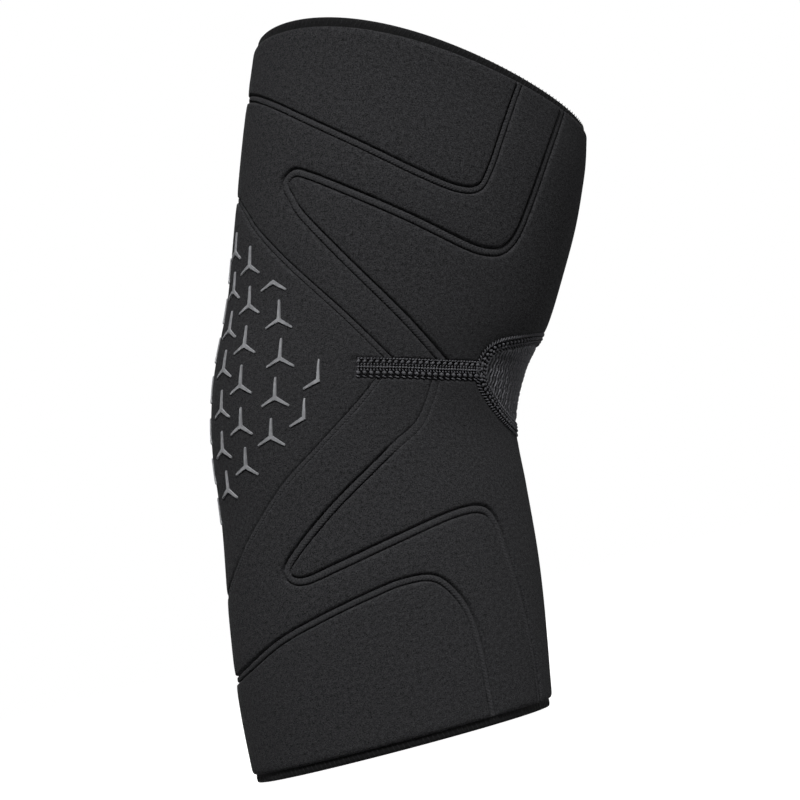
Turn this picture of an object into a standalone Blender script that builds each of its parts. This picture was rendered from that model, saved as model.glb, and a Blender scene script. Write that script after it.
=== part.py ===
"""A padded compression sleeve for the elbow, standing on its forearm hem.

+Z runs up the arm, +X points to the crook of the elbow and +Y to the sleeve's left side.
Sizes are millimetres here, and MM turns them into Blender's metres.
The sleeve is a bent oval tube. Its wall has three layers: a cover knit outside, foam panels
under it, and a base knit against the skin. Pressed channels part the foam into seven panels.
"""

import math

import bmesh
import bpy
from mathutils import Vector
from mathutils.geometry import interpolate_bezier

MM = 0.001

# The back and front lines of the tube, as (x, z), matched pair by pair from the forearm hem up.
BACK_LINE = ((-80.5, 0), (-79, 26), (-75.5, 52.5), (-70, 83.5), (-66.5, 110.5),
             (-60.5, 131.5), (-50, 154.5), (-41, 179.5), (-30.5, 208.5), (-19, 237))
FRONT_LINE = ((21.5, 0), (25.5, 23.5), (29, 48.5), (31.5, 71.5), (33.5, 91.5),
              (41, 107.5), (53, 122), (65.5, 143.5), (76, 164.5), (81, 179.5))
OVAL_RATIO = 0.72       # width across the arm over depth from back to crook
TUBE_LENGTH = 260.0     # along the back, for turning a length into a share of the tube
HEM_ARCH = 12.0         # how far the upper hem rises at the sides
ROUND_STEPS = 28
LENGTH_STEPS = 16

# The layers, as depths below the outer surface.
COVER = (0.0, 0.8)
SEAM = (0.9, 2.6)
FOAM = (1.1, 3.1)
BORDER = (1.2, 3.6)
BASE = (3.6, 4.5)
HEM_EDGE = (1.8, 4.5)
ELASTIC = (4.9, 5.7)
GRIP = (6.0, 6.6)

# Shares of the tube's length, from the forearm hem.
HEM_END = 0.0125
PAD_START = 0.014
BASE_SPLITS = (0.19, 0.83)
SPLIT_GAP = 0.0016
ELASTIC_SPAN = (0.02, 0.09)
GRIP_SPAN = (0.04, 0.06)

# The middle lines of the pressed channels, seen from the side, as (x, z).
FIELD_WIDTH, BAND_WIDTH, PAD_WIDTH = 2.8, 3.5, 2.3
UPPER_FIELD_LINE = ((-44, 236), (-26, 218), (-9, 201), (9, 185), (22, 174), (32, 167),
                    (39, 165.5), (44.3, 170.5), (51.6, 181.4), (60.8, 195), (74.5, 214))
UPPER_BAND_LINE = ((84, 203), (74, 186), (64, 171), (55, 157.8), (48.2, 148.9), (42.5, 145),
                   (36.9, 145.4), (30, 149.3), (15, 161.5), (-3, 175.7), (-13, 183.6),
                   (-18, 186.6), (-21.9, 184), (-21.2, 179.5), (-18.8, 172), (-9, 154.5),
                   (6, 130.2), (16, 112.4))
UPPER_PAD_LINE = ((-44, 208), (-39, 190), (-36.3, 179), (-33.7, 171), (-26.2, 157), (-13, 136.7),
                  (0, 116))
FOREARM_PAD_LINE = ((-3, 118.5), (-15.3, 109.3), (-31.2, 99.3), (-47, 89.3), (-61.3, 76.5),
                    (-71, 65), (-82, 50))
FOREARM_BAND_LINE = ((14, 116), (9.9, 109.2), (6, 103.1), (1, 97.6), (-7, 93.4), (-14.6, 89.2),
                     (-32, 79.3), (-47, 69), (-52.3, 63.2), (-48, 59.2), (-35, 60.9),
                     (-15, 64.4), (5, 67.6), (14.5, 67), (18, 61.8), (19, 51), (19.8, 34),
                     (18.9, 15), (15.6, -8))
FOREARM_FIELD_LINE = ((-94, 26), (-75, 35.5), (-60, 42.5), (-44, 46.5), (-28, 49.5),
                      (-16, 51), (-6, 49.5), (0, 42), (2.5, 32), (2.5, 18), (0.5, -8))

# The side seams and the mesh insert in the crook.
SEAM_START, SEAM_END = (-13, 120), (23, 110.3)
SEAM_HEIGHT = 6.0
CROOK_OUTLINE = ((23.2, 107), (24.4, 111.4), (26.8, 114.8), (31.4, 117.4), (41, 118), (70, 118.4),
                 (60, 68), (38, 82), (32.1, 88.3), (26.8, 95.4), (24.2, 101.2))
BORDER_WIDTH = 4.2
GAP = 0.3

ELBOW_AXIS = (-1, 0, 115)
CUTTER_REACH = 60.0
# A point inside each foam panel, seen from the side.
PANELS = {
    "upper_field": (0, 215), "upper_band": (-28, 195), "upper_front": (58, 138),
    "elbow_pad": (-48, 115), "forearm_band": (-66, 55), "forearm_front": (18, 82),
    "forearm_field": (-40, 20),
}

# Base colour, roughness.
KNIT_BLACK = ((0.024, 0.024, 0.026), 0.85)
BASE_BLACK = ((0.018, 0.018, 0.020), 0.9)
FOAM_GREY = ((0.055, 0.055, 0.058), 0.95)
THREAD_GREY = ((0.05, 0.05, 0.053), 0.7)
MESH_BLACK = ((0.012, 0.012, 0.013), 0.8)
SILICONE_CLEAR = ((0.30, 0.31, 0.32), 0.45)


def smooth_line(points, steps):
    """Points along a smooth curve through the given ones, with this many to each stretch."""
    ends = [2 * Vector(points[0]) - Vector(points[1]), 2 * Vector(points[-1]) - Vector(points[-2])]
    knots = [ends[0], *map(Vector, points), ends[1]]
    line = []
    for before, start, end, after in zip(knots, knots[1:], knots[2:], knots[3:]):
        handle_1 = start + (end - before) / 6
        handle_2 = end - (after - start) / 6
        line += interpolate_bezier(start, handle_1, handle_2, end, steps + 1)[:-1]
    return line + [knots[-2]]


FINE = 40
BACK_CURVE = smooth_line(BACK_LINE, FINE)
FRONT_CURVE = smooth_line(FRONT_LINE, FINE)


def along(curve, share):
    """The point at this share of a fine curve, which runs on straight past its ends."""
    place = share * (len(curve) - 1)
    i = min(max(int(place), 0), len(curve) - 2)
    return curve[i].lerp(curve[i + 1], place - i)


def sleeve_point(share, angle, depth):
    """A point of the tube: angle 0 is at the crook, and depth is below the outer surface."""
    side = math.sin(angle)
    share += HEM_ARCH / TUBE_LENGTH * share ** 3 * abs(side) ** 1.5
    back = along(BACK_CURVE, share)
    front = along(FRONT_CURVE, share)
    half = (front - back) / 2
    middle = (front + back) / 2 + half.normalized() * ((half.length - depth) * math.cos(angle))
    return Vector((middle.x, (OVAL_RATIO * half.length - depth) * side, middle.y)) * MM


def material(name, finish):
    """A Principled material with this finish."""
    made = bpy.data.materials.new(name)
    made.use_nodes = True
    shader = made.node_tree.nodes["Principled BSDF"]
    colour, roughness = finish
    shader.inputs["Base Color"].default_value = (*colour, 1)
    shader.inputs["Roughness"].default_value = roughness
    made.diffuse_color = (*colour, 1)
    return made


def dress(obj, finish):
    """Gives the object its own material and smooth shading."""
    obj.data.materials.clear()
    obj.data.materials.append(material(obj.name, finish))
    obj.data.shade_smooth()
    obj.data.set_sharp_from_angle(angle=math.radians(40))


def linked(name, mesh, collection):
    obj = bpy.data.objects.new(name, mesh)
    collection.objects.link(obj)
    return obj


def sleeve_wall(name, span, layer, collection, steps=LENGTH_STEPS):
    """A closed wall round the arm: a loft through the tube's changing ovals, with both faces."""
    form = bmesh.new()
    rings = []
    shares = [span[0] + (span[1] - span[0]) * i / steps for i in range(steps + 1)]
    for depth, order in ((layer[0], shares), (layer[1], shares[::-1])):
        for share in order:
            rings.append([form.verts.new(sleeve_point(share, math.tau * k / ROUND_STEPS, depth))
                          for k in range(ROUND_STEPS)])
    for ring, after in zip(rings, rings[1:] + rings[:1]):
        for k in range(ROUND_STEPS):
            n = (k + 1) % ROUND_STEPS
            form.faces.new((ring[k], ring[n], after[n], after[k]))
    bmesh.ops.recalc_face_normals(form, faces=form.faces)
    mesh = bpy.data.meshes.new(name)
    form.to_mesh(mesh)
    form.free()
    return linked(name, mesh, collection)


def side_prism(name, outline):
    """A cutter: an outline seen from the side, run right through the sleeve along Y."""
    data = bpy.data.curves.new(name, "CURVE")
    data.dimensions = "2D"
    data.fill_mode = "BOTH"
    data.extrude = CUTTER_REACH * MM
    spline = data.splines.new("POLY")
    spline.points.add(len(outline) - 1)
    for point, (x, z) in zip(spline.points, outline):
        point.co = (x * MM, z * MM, 0, 1)
    spline.use_cyclic_u = True
    curve = linked(name + "_curve", data, CUTTERS)
    curve.rotation_euler = (math.radians(90), 0, 0)
    bpy.context.view_layer.update()
    evaluated = curve.evaluated_get(bpy.context.evaluated_depsgraph_get())
    mesh = bpy.data.meshes.new_from_object(evaluated)
    form = bmesh.new()
    form.from_mesh(mesh)
    bmesh.ops.remove_doubles(form, verts=form.verts, dist=1e-6)
    bmesh.ops.recalc_face_normals(form, faces=form.faces)
    form.to_mesh(mesh)
    form.free()
    prism = linked(name, mesh, CUTTERS)
    prism.matrix_world = curve.matrix_world
    bpy.data.objects.remove(curve)
    prism.hide_render = True
    prism.display_type = "WIRE"
    return prism


def offset_line(line, distance, closed=False):
    """The line moved sideways, to its left as it runs, by this distance."""
    moved = []
    last = len(line) - 1
    for i, point in enumerate(line):
        before = line[i - 1] if closed or i else point
        after = line[(i + 1) % len(line)] if closed or i < last else point
        ways = [(b - a).normalized() for a, b in ((before, point), (point, after)) if a != b]
        way = sum(ways, Vector((0, 0))).normalized()
        reach = distance / max(way.dot(ways[0]), 0.5)
        moved.append(point + Vector((-way.y, way.x)) * reach)
    return moved


def channel_cutter(name, points, width, steps=2):
    """The cutter of a pressed channel that follows these points."""
    line = smooth_line(points, steps)
    return side_prism(name, offset_line(line, width / 2) + offset_line(line, -width / 2)[::-1])


def seam_outline(margin):
    """The side seam's place, grown by a margin, and run on into the crook insert if it is wide."""
    start, end = Vector(SEAM_START), Vector(SEAM_END)
    way = (end - start).normalized()
    line = [start - way * margin, end + way * margin * 10]
    half = SEAM_HEIGHT / 2 + margin
    return offset_line(line, half) + offset_line(line, -half)[::-1]


def crook_outline(inwards):
    """The crook insert's outline, moved inwards by this much."""
    return offset_line([Vector(p) for p in CROOK_OUTLINE], -inwards, closed=True)


def boolean(obj, cutter, operation="DIFFERENCE"):
    """Cuts the object with a cutter, or keeps only what the two share."""
    step = obj.modifiers.new(cutter.name, "BOOLEAN")
    step.operation = operation
    step.object = cutter
    step.solver = "EXACT"


def applied(obj):
    """Applies the object's modifiers."""
    graph = bpy.context.evaluated_depsgraph_get()
    mesh = bpy.data.meshes.new_from_object(obj.evaluated_get(graph))
    obj.modifiers.clear()
    obj.data = mesh


def loose_pieces(obj):
    """Splits the object where it isn't joined, and returns its pieces."""
    applied(obj)
    bpy.ops.object.select_all(action="DESELECT")
    obj.select_set(True)
    bpy.context.view_layer.objects.active = obj
    bpy.ops.mesh.separate(type="LOOSE")
    return list(bpy.context.selected_objects)


def cut_panels(layer, suffix, finish, cutters):
    """One layer of the pads: a wall cut by every channel, then named panel by panel."""
    wall = sleeve_wall("pads_" + suffix, (PAD_START, 1 - PAD_START), layer, PARTS)
    for cutter in cutters:
        boolean(wall, cutter)
    pieces = loose_pieces(wall)
    bpy.context.view_layer.update()
    for panel, (x, z) in PANELS.items():
        start = Vector((x, -CUTTER_REACH, z)) * MM
        found = next(p for p in pieces if p.ray_cast(start, Vector((0, 1, 0)))[0])
        found.name = panel + "_" + suffix
        dress(found, finish)
        pieces.remove(found)
    for crumb in pieces:
        bpy.data.objects.remove(crumb)


def build_base():
    """The base knit against the skin: two cuffs, and the elbow stretch with its crook opening."""
    low, high = BASE_SPLITS
    sleeve_wall("forearm_base_knit", (PAD_START, low), BASE, PARTS, 4)
    elbow = sleeve_wall("elbow_base_knit", (low + SPLIT_GAP, high - SPLIT_GAP), BASE, PARTS, 11)
    sleeve_wall("upper_base_knit", (high, 1 - PAD_START), BASE, PARTS, 4)
    boolean(elbow, side_prism("crook_opening", crook_outline(-GAP)))
    for name in ("forearm_base_knit", "elbow_base_knit", "upper_base_knit"):
        dress(bpy.data.objects[name], BASE_BLACK)


def build_hems():
    """The folded hem edges, the elastic tapes inside them and the upper one's grip strip."""
    near, far = ELASTIC_SPAN
    sleeve_wall("forearm_hem_edge", (0, HEM_END), HEM_EDGE, PARTS, 1)
    sleeve_wall("upper_hem_edge", (1 - HEM_END, 1), HEM_EDGE, PARTS, 1)
    sleeve_wall("forearm_hem_elastic", (near, far), ELASTIC, PARTS, 2)
    sleeve_wall("upper_hem_elastic", (1 - far, 1 - near), ELASTIC, PARTS, 2)
    grip = sleeve_wall("upper_grip_strip", (1 - GRIP_SPAN[1], 1 - GRIP_SPAN[0]), GRIP, PARTS, 1)
    for name in ("forearm_hem_edge", "upper_hem_edge", "forearm_hem_elastic", "upper_hem_elastic"):
        dress(bpy.data.objects[name], KNIT_BLACK)
    dress(grip, SILICONE_CLEAR)


def build_pads():
    """The foam panels and their covers, parted by the channels, the seams and the crook."""
    cutters = [
        channel_cutter("upper_field_channel", UPPER_FIELD_LINE, FIELD_WIDTH),
        channel_cutter("upper_band_channel", UPPER_BAND_LINE, BAND_WIDTH),
        channel_cutter("upper_pad_channel", UPPER_PAD_LINE, PAD_WIDTH),
        channel_cutter("forearm_pad_channel", FOREARM_PAD_LINE, PAD_WIDTH),
        channel_cutter("forearm_band_channel", FOREARM_BAND_LINE, BAND_WIDTH),
        channel_cutter("forearm_field_channel", FOREARM_FIELD_LINE, FIELD_WIDTH),
        side_prism("seam_slot", seam_outline(GAP)),
        side_prism("crook_gap", crook_outline(-GAP)),
    ]
    cut_panels(COVER, "cover", KNIT_BLACK, cutters)
    cut_panels(FOAM, "foam", FOAM_GREY, cutters)


def build_crook():
    """The mesh insert in the crook, with the stitched border that holds it all round."""
    span = (0.3, 0.8)
    whole = side_prism("border_outline", crook_outline(0))
    inner = side_prism("border_inside", crook_outline(BORDER_WIDTH))
    mesh_edge = side_prism("mesh_outline", crook_outline(BORDER_WIDTH + GAP))
    border = sleeve_wall("crook_border_seam", span, BORDER, PARTS, 9)
    boolean(border, whole, "INTERSECT")
    boolean(border, inner)
    insert = sleeve_wall("crook_mesh", span, BASE, PARTS, 9)
    boolean(insert, mesh_edge, "INTERSECT")
    dress(border, THREAD_GREY)
    dress(insert, MESH_BLACK)


def build_side_seams():
    """The flat stitched seam on each side, from the elbow pad's tip to the crook."""
    wall = sleeve_wall("side_seams", (0.3, 0.7), SEAM, PARTS, 8)
    boolean(wall, side_prism("seam_outline", seam_outline(0)), "INTERSECT")
    boolean(wall, side_prism("seam_crook_gap", crook_outline(-GAP)))
    for piece in loose_pieces(wall):
        left = sum(v.co.y for v in piece.data.vertices) > 0
        piece.name = "side_seam_left" if left else "side_seam_right"
        dress(piece, THREAD_GREY)


def hang_upper_arm():
    """Parents every piece of the upper arm to an empty on the elbow's axis."""
    axis = bpy.data.objects.new("elbow_axis", None)
    axis.location = Vector(ELBOW_AXIS) * MM
    PARTS.objects.link(axis)
    bpy.context.view_layer.update()
    for obj in PARTS.objects:
        if obj.name.startswith("upper_"):
            obj.parent = axis
            obj.matrix_parent_inverse = axis.matrix_world.inverted()


for old in list(bpy.data.objects):
    bpy.data.objects.remove(old)
PARTS = bpy.data.collections.new("elbow_sleeve")
CUTTERS = bpy.data.collections.new("cutters")
bpy.context.scene.collection.children.link(PARTS)
bpy.context.scene.collection.children.link(CUTTERS)

build_base()
build_hems()
build_pads()
build_crook()
build_side_seams()
hang_upper_arm()
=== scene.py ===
"""The finished look of a padded compression sleeve for the elbow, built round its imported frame.

+Z runs up the arm, +X points to the crook of the elbow and +Y to the sleeve's left side. Sizes
in the classes are millimetres, and MM turns them into metres where a mesh is written.
"""

import logging  # noqa: E402
import math  # noqa: E402
from dataclasses import dataclass, field  # noqa: E402
from enum import Enum  # noqa: E402

import bpy  # noqa: E402
import numpy as np  # noqa: E402
from mathutils import Matrix, Vector  # noqa: E402
from mathutils.geometry import delaunay_2d_cdt  # noqa: E402
from mathutils.kdtree import KDTree  # noqa: E402


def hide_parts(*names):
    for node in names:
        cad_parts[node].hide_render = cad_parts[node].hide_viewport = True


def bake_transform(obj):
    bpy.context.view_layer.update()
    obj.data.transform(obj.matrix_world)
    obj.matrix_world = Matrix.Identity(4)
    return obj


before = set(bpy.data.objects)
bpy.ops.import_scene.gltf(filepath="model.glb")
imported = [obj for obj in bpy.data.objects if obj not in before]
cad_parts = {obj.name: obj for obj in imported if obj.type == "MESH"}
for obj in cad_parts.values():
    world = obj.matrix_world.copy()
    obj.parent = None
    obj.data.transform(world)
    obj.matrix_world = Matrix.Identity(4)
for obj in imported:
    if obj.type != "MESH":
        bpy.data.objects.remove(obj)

MM = 0.001
LOG = logging.getLogger("elbow_sleeve")
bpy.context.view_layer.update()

Points = tuple[tuple[float, float], ...]


class Side(Enum):
    """Where a pad's pattern is centred: on the back of the elbow or on its crook."""

    BACK = "back"
    CROOK = "crook"


# ---------------------------------------------------------------- small helpers


def srgb(code: str) -> tuple[float, float, float, float]:
    """Turns an sRGB hex colour into linear light.

    Args:
        code: The colour, as six hex digits.

    Returns:
        Red, green, blue and an alpha of one.
    """
    parts = [int(code[i : i + 2], 16) / 255 for i in (0, 2, 4)]
    linear = [c / 12.92 if c <= 0.04045 else ((c + 0.055) / 1.055) ** 2.4 for c in parts]
    return (*linear, 1.0)


def smoothstep(value: np.ndarray) -> np.ndarray:
    """Eases values from 0 to 1, held at both ends."""
    t = np.clip(value, 0, 1)
    return t * t * (3 - 2 * t)


def smooth_line(points: Points, steps: int) -> np.ndarray:
    """Points along a smooth curve through the given ones.

    Args:
        points: The places it passes through.
        steps: How many points each stretch gets.

    Returns:
        The curve's points, one row each.
    """
    inner = np.array(points, float)
    knots = np.vstack([2 * inner[0] - inner[1], inner, 2 * inner[-1] - inner[-2]])
    t = np.linspace(0, 1, steps, endpoint=False)[:, None]
    line = []
    for before, start, end, after in zip(knots, knots[1:], knots[2:], knots[3:]):
        handles = start + (end - before) / 6, end - (after - start) / 6
        line.append(
            (1 - t) ** 3 * start
            + 3 * (1 - t) ** 2 * t * handles[0]
            + 3 * (1 - t) * t**2 * handles[1]
            + t**3 * end
        )
    return np.vstack([*line, knots[-2]])


def unit(vectors: np.ndarray) -> np.ndarray:
    """Each row as a vector of length one."""
    return vectors / np.maximum(np.linalg.norm(vectors, axis=-1, keepdims=True), 1e-12)


def deselect() -> None:
    """Leaves nothing selected, in object mode."""
    if bpy.context.mode != "OBJECT":
        bpy.ops.object.mode_set(mode="OBJECT")
    bpy.ops.object.select_all(action="DESELECT")


def activate(obj: bpy.types.Object) -> None:
    """Makes this the only selected object, and the active one."""
    deselect()
    obj.select_set(True)
    bpy.context.view_layer.objects.active = obj


def mesh_object(
    name: str, points: np.ndarray, faces: list[tuple[int, ...]] | np.ndarray
) -> bpy.types.Object:
    """A new object with this mesh, its points given in millimetres.

    Args:
        name: The piece's name.
        points: One row for each vertex.
        faces: The vertices of each face, turned outwards.

    Returns:
        The object, linked to the scene.
    """
    mesh = bpy.data.meshes.new(name)
    listed = faces.tolist() if isinstance(faces, np.ndarray) else faces
    mesh.from_pydata((points * MM).tolist(), [], listed)
    mesh.update()
    obj = bpy.data.objects.new(name, mesh)
    bpy.context.scene.collection.objects.link(obj)
    return obj


def read_mesh(obj: bpy.types.Object) -> tuple[np.ndarray, list[tuple[int, ...]]]:
    """The object's vertices as rows in its own units, and its faces."""
    points = np.empty(len(obj.data.vertices) * 3)
    obj.data.vertices.foreach_get("co", points)
    return points.reshape(-1, 3), [tuple(p.vertices) for p in obj.data.polygons]


def turn_outwards(obj: bpy.types.Object) -> None:
    """Turns every face of a closed mesh outwards."""
    activate(obj)
    bpy.ops.object.mode_set(mode="EDIT")
    bpy.ops.mesh.select_all(action="SELECT")
    bpy.ops.mesh.normals_make_consistent(inside=False)
    bpy.ops.object.mode_set(mode="OBJECT")


def shade(obj: bpy.types.Object, angle: float = 40.0) -> None:
    """Smooth shading, with edges sharper than this many degrees left crisp."""
    activate(obj)
    bpy.ops.object.shade_smooth_by_angle(angle=math.radians(angle))


# ---------------------------------------------------------------- the sleeve's form


@dataclass(frozen=True)
class SleeveForm:
    """The bent oval tube that every piece lies on.

    A place on it is a share of its length, 0 at the forearm hem and 1 at the upper hem, and an
    angle round it, 0 at the crook, half a turn at the back, and positive on the left side.
    """

    back_line: Points = (
        (-80.5, 0), (-79, 26), (-75.5, 52.5), (-70, 83.5), (-66.5, 110.5),
        (-60.5, 131.5), (-50, 154.5), (-41, 179.5), (-30.5, 208.5), (-19, 237),
    )
    front_line: Points = (
        (21.5, 0), (25.5, 23.5), (29, 48.5), (31.5, 71.5), (33.5, 91.5),
        (41, 107.5), (53, 122), (65.5, 143.5), (76, 164.5), (81, 179.5),
    )
    oval_ratio: float = 0.72
    tube_length: float = 260.0
    hem_arch: float = 12.0
    girth_scale: float = 47.0

    def __post_init__(self) -> None:
        """Works out the fine back and front curves once."""
        object.__setattr__(self, "back", smooth_line(self.back_line, 40))
        object.__setattr__(self, "front", smooth_line(self.front_line, 40))

    @staticmethod
    def along(curve: np.ndarray, share: np.ndarray) -> np.ndarray:
        """The points at these shares of a fine curve, which runs on straight past its ends."""
        place = share * (len(curve) - 1)
        i = np.clip(np.floor(place).astype(int), 0, len(curve) - 2)
        return curve[i] + (curve[i + 1] - curve[i]) * (place - i)[..., None]

    def chord(self, share: np.ndarray) -> tuple[np.ndarray, np.ndarray]:
        """The middle of each cross-section, and the way from there to the crook, as (x, z)."""
        back, front = self.along(self.back, share), self.along(self.front, share)
        return (front + back) / 2, (front - back) / 2

    def arch(self, share: np.ndarray, angle: np.ndarray) -> np.ndarray:
        """How much further up the tube a place is for the arch of the upper hem."""
        rise = self.hem_arch / self.tube_length
        return rise * np.clip(share, 0, None) ** 3 * np.abs(np.sin(angle)) ** 1.5

    def at(self, share: np.ndarray, angle: np.ndarray, depth: np.ndarray = 0.0) -> np.ndarray:
        """Places on the sleeve.

        Args:
            share: Shares of the tube's length.
            angle: Angles round it, in radians.
            depth: How far below the outer surface.

        Returns:
            Points in millimetres, one row each.
        """
        share, angle, depth = np.broadcast_arrays(share, angle, depth)
        middle, half = self.chord(share + self.arch(share, angle))
        length = np.linalg.norm(half, axis=-1)
        reach = ((length - depth) * np.cos(angle) / length)[..., None]
        flat = middle + half * reach
        across = (self.oval_ratio * length - depth) * np.sin(angle)
        return np.stack([flat[..., 0], across, flat[..., 1]], axis=-1)

    def locate(self, places: np.ndarray) -> tuple[np.ndarray, np.ndarray]:
        """Finds places seen from the side on the left half of the sleeve.

        Args:
            places: Rows of (x, z). One past the outline is put as far past the middle line.

        Returns:
            Their shares and angles.
        """
        low, high = np.full(len(places), -0.2), np.full(len(places), 1.25)
        for _ in range(40):
            share = (low + high) / 2
            middle, half = self.chord(share)
            off = places - middle
            above = half[:, 0] * off[:, 1] - half[:, 1] * off[:, 0] > 0
            low, high = np.where(above, share, low), np.where(above, high, share)
        across = (off * half).sum(1) / (half * half).sum(1)
        beyond = np.sqrt(2 * np.clip(np.abs(across) - 1, 0, None))
        angle = np.arccos(np.clip(across, -1, 1))
        angle = np.where(across > 1, -beyond, np.where(across < -1, math.pi + beyond, angle))
        found = share
        for _ in range(8):
            found = share - self.arch(found, angle)
        return found, angle

    def ways(self, share: np.ndarray, angle: np.ndarray) -> tuple[np.ndarray, np.ndarray]:
        """The surface's slopes: millimetres per radian round it, and per share along it."""
        step, here = 1e-4, self.at(share, angle)
        round_it = (self.at(share, angle + step) - here) / step
        along_it = (self.at(share + step, angle) - here) / step
        return round_it, along_it

    def normal(self, share: np.ndarray, angle: np.ndarray) -> np.ndarray:
        """Unit vectors out of the surface."""
        round_it, along_it = self.ways(share, angle)
        return unit(np.cross(round_it, along_it))

    def moved(
        self, share: np.ndarray, angle: np.ndarray, way: np.ndarray, distance: np.ndarray
    ) -> tuple[np.ndarray, np.ndarray]:
        """Places moved over the surface by a true distance.

        Args:
            share: Where they start.
            angle: Where they start.
            way: Unit vectors along the surface.
            distance: How far, in millimetres.

        Returns:
            The new shares and angles.
        """
        a, s = self.ways(share, angle)
        aa, ss, mixed = (a * a).sum(-1), (s * s).sum(-1), (a * s).sum(-1)
        ra, rs = (a * way).sum(-1), (s * way).sum(-1)
        spread = aa * ss - mixed**2
        turned = angle + distance * (ra * ss - rs * mixed) / spread
        return share + distance * (rs * aa - ra * mixed) / spread, turned


@dataclass
class SurfaceLine:
    """A line that lies on the left half of the sleeve."""

    form: SleeveForm
    share: np.ndarray
    angle: np.ndarray

    @classmethod
    def from_side(cls, form: SleeveForm, points: Points, spacing: float) -> "SurfaceLine":
        """Lays a smooth line, given as it is seen from the side, on the sleeve.

        Args:
            form: The sleeve.
            points: Places that the line passes through, as (x, z).
            spacing: The distance between the points it is given.

        Returns:
            The line, with even steps.
        """
        share, angle = form.locate(smooth_line(points, 500))
        return cls(form, share, angle).even(spacing)

    @property
    def points(self) -> np.ndarray:
        """The line's points on the outer surface."""
        return self.form.at(self.share, self.angle)

    def lengths(self) -> np.ndarray:
        """How far along the line each point is."""
        steps = np.linalg.norm(np.diff(self.points, axis=0), axis=1)
        return np.concatenate([[0.0], np.cumsum(steps)])

    def even(self, spacing: float) -> "SurfaceLine":
        """The same line with its points this far apart."""
        run = self.lengths()
        at = np.linspace(0, run[-1], max(3, round(run[-1] / spacing) + 1))
        share, angle = np.interp(at, run, self.share), np.interp(at, run, self.angle)
        return SurfaceLine(self.form, share, angle)

    def directions(self) -> tuple[np.ndarray, np.ndarray, np.ndarray]:
        """Unit vectors along the line, to its left over the surface, and out of the surface."""
        out = self.form.normal(self.share, self.angle)
        ahead = unit(np.gradient(self.points, axis=0))
        ahead = unit(ahead - (ahead * out).sum(1, keepdims=True) * out)
        return ahead, np.cross(out, ahead), out

    def offset(self, distance: float) -> "SurfaceLine":
        """The line moved to its left over the surface by a true distance."""
        left, place = self.directions()[1], (self.share, self.angle)
        steps = max(1, math.ceil(abs(distance) / 0.6))
        for _ in range(steps):
            out = self.form.normal(*place)
            way = unit(left - (left * out).sum(1, keepdims=True) * out)
            place = self.form.moved(*place, way, distance / steps)
        return SurfaceLine(self.form, *place)

    def inside(self) -> "SurfaceLine":
        """The part of the line on the left half."""
        kept = (self.angle >= 0) & (self.angle <= math.pi)
        return SurfaceLine(self.form, self.share[kept], self.angle[kept])


class NearestLine:
    """Finds how far places on the sleeve are from one line and its mirror image."""

    def __init__(self, line: SurfaceLine, mirrored: bool = True) -> None:
        """Indexes the line's points.

        Args:
            line: The line, on the left half.
            mirrored: Whether its mirror image counts as well.
        """
        pts = line.inside().points
        runs = [pts, pts * (1, -1, 1)] if mirrored else [pts]
        self.starts = np.vstack([run[:-1] for run in runs])
        self.ends = np.vstack([run[1:] for run in runs])
        self.tree = KDTree(len(self.starts))
        for i, point in enumerate((self.starts + self.ends) / 2):
            self.tree.insert(point, i)
        self.tree.balance()
        steps = np.linalg.norm(np.diff(pts, axis=0), axis=1)
        runs_on = np.concatenate([[0.0], np.cumsum(steps)])[:-1]
        self.run = np.tile(runs_on, len(runs))

    def along(self, points: np.ndarray) -> np.ndarray:
        """How far along the line the nearest place to each point is."""
        nearest = np.array([self.tree.find(p)[1] for p in points])
        start, run = self.starts[nearest], self.ends[nearest] - self.starts[nearest]
        length = np.linalg.norm(run, axis=1)
        return self.run[nearest] + ((points - start) * run).sum(1) / length

    def distance(self, points: np.ndarray) -> np.ndarray:
        """The distance of each point from the line."""
        best = np.full(len(points), np.inf)
        found = np.array([[i for _, i, _ in self.tree.find_n(p, 2)] for p in points])
        for column in found.T:
            start, end = self.starts[column], self.ends[column]
            run = end - start
            along = ((points - start) * run).sum(1) / np.maximum((run * run).sum(1), 1e-12)
            foot = start + run * np.clip(along, 0, 1)[:, None]
            best = np.minimum(best, np.linalg.norm(points - foot, axis=1))
        return best


# ---------------------------------------------------------------- pressed lines


@dataclass(frozen=True)
class Relief:
    """How deep the cover lies at a distance from a pressed line."""

    half: float
    depth: float
    bead: float = 0.75
    wall: float = 0.26
    shoulder: float = 0.42
    reach: float = 3.4

    def at(self, distance: np.ndarray) -> np.ndarray:
        """The depth at these distances from the line's middle."""
        foot, top = self.half - self.wall, self.half + self.wall
        floor = self.depth - self.bead * (1 - np.clip(distance / foot, 0, 1) ** 4)
        edge = self.shoulder * (1 - np.clip((distance - top) / self.reach, 0, 1)) ** 2
        up = smoothstep((distance - foot) / (top - foot))
        return floor * (1 - up) + edge * up

    def rails(self) -> list[float]:
        """The distances at which the mesh needs a line of points."""
        foot, top = self.half - self.wall, self.half + self.wall
        ridge = [foot * 0.4, foot * 0.7, foot * 0.87, foot]
        return [*ridge, self.half, top, top + 0.5, top + 1.3, top + self.reach]


# How far a faint channel takes to reach its full depth.
FADE_LENGTH = 9.0


@dataclass(frozen=True)
class Channel:
    """One channel pressed through the foam, as it is seen from the side."""

    points: Points
    relief: Relief
    # The channel is shallower up to this far along it, in mm.
    faint_until: float = 0.0

    def share_of_depth(self, run: np.ndarray) -> np.ndarray:
        """How much of its full depth the channel has at these lengths along it."""
        if not self.faint_until:
            return np.ones(len(run))
        return 0.5 + 0.5 * smoothstep((run - self.faint_until) / FADE_LENGTH)


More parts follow.
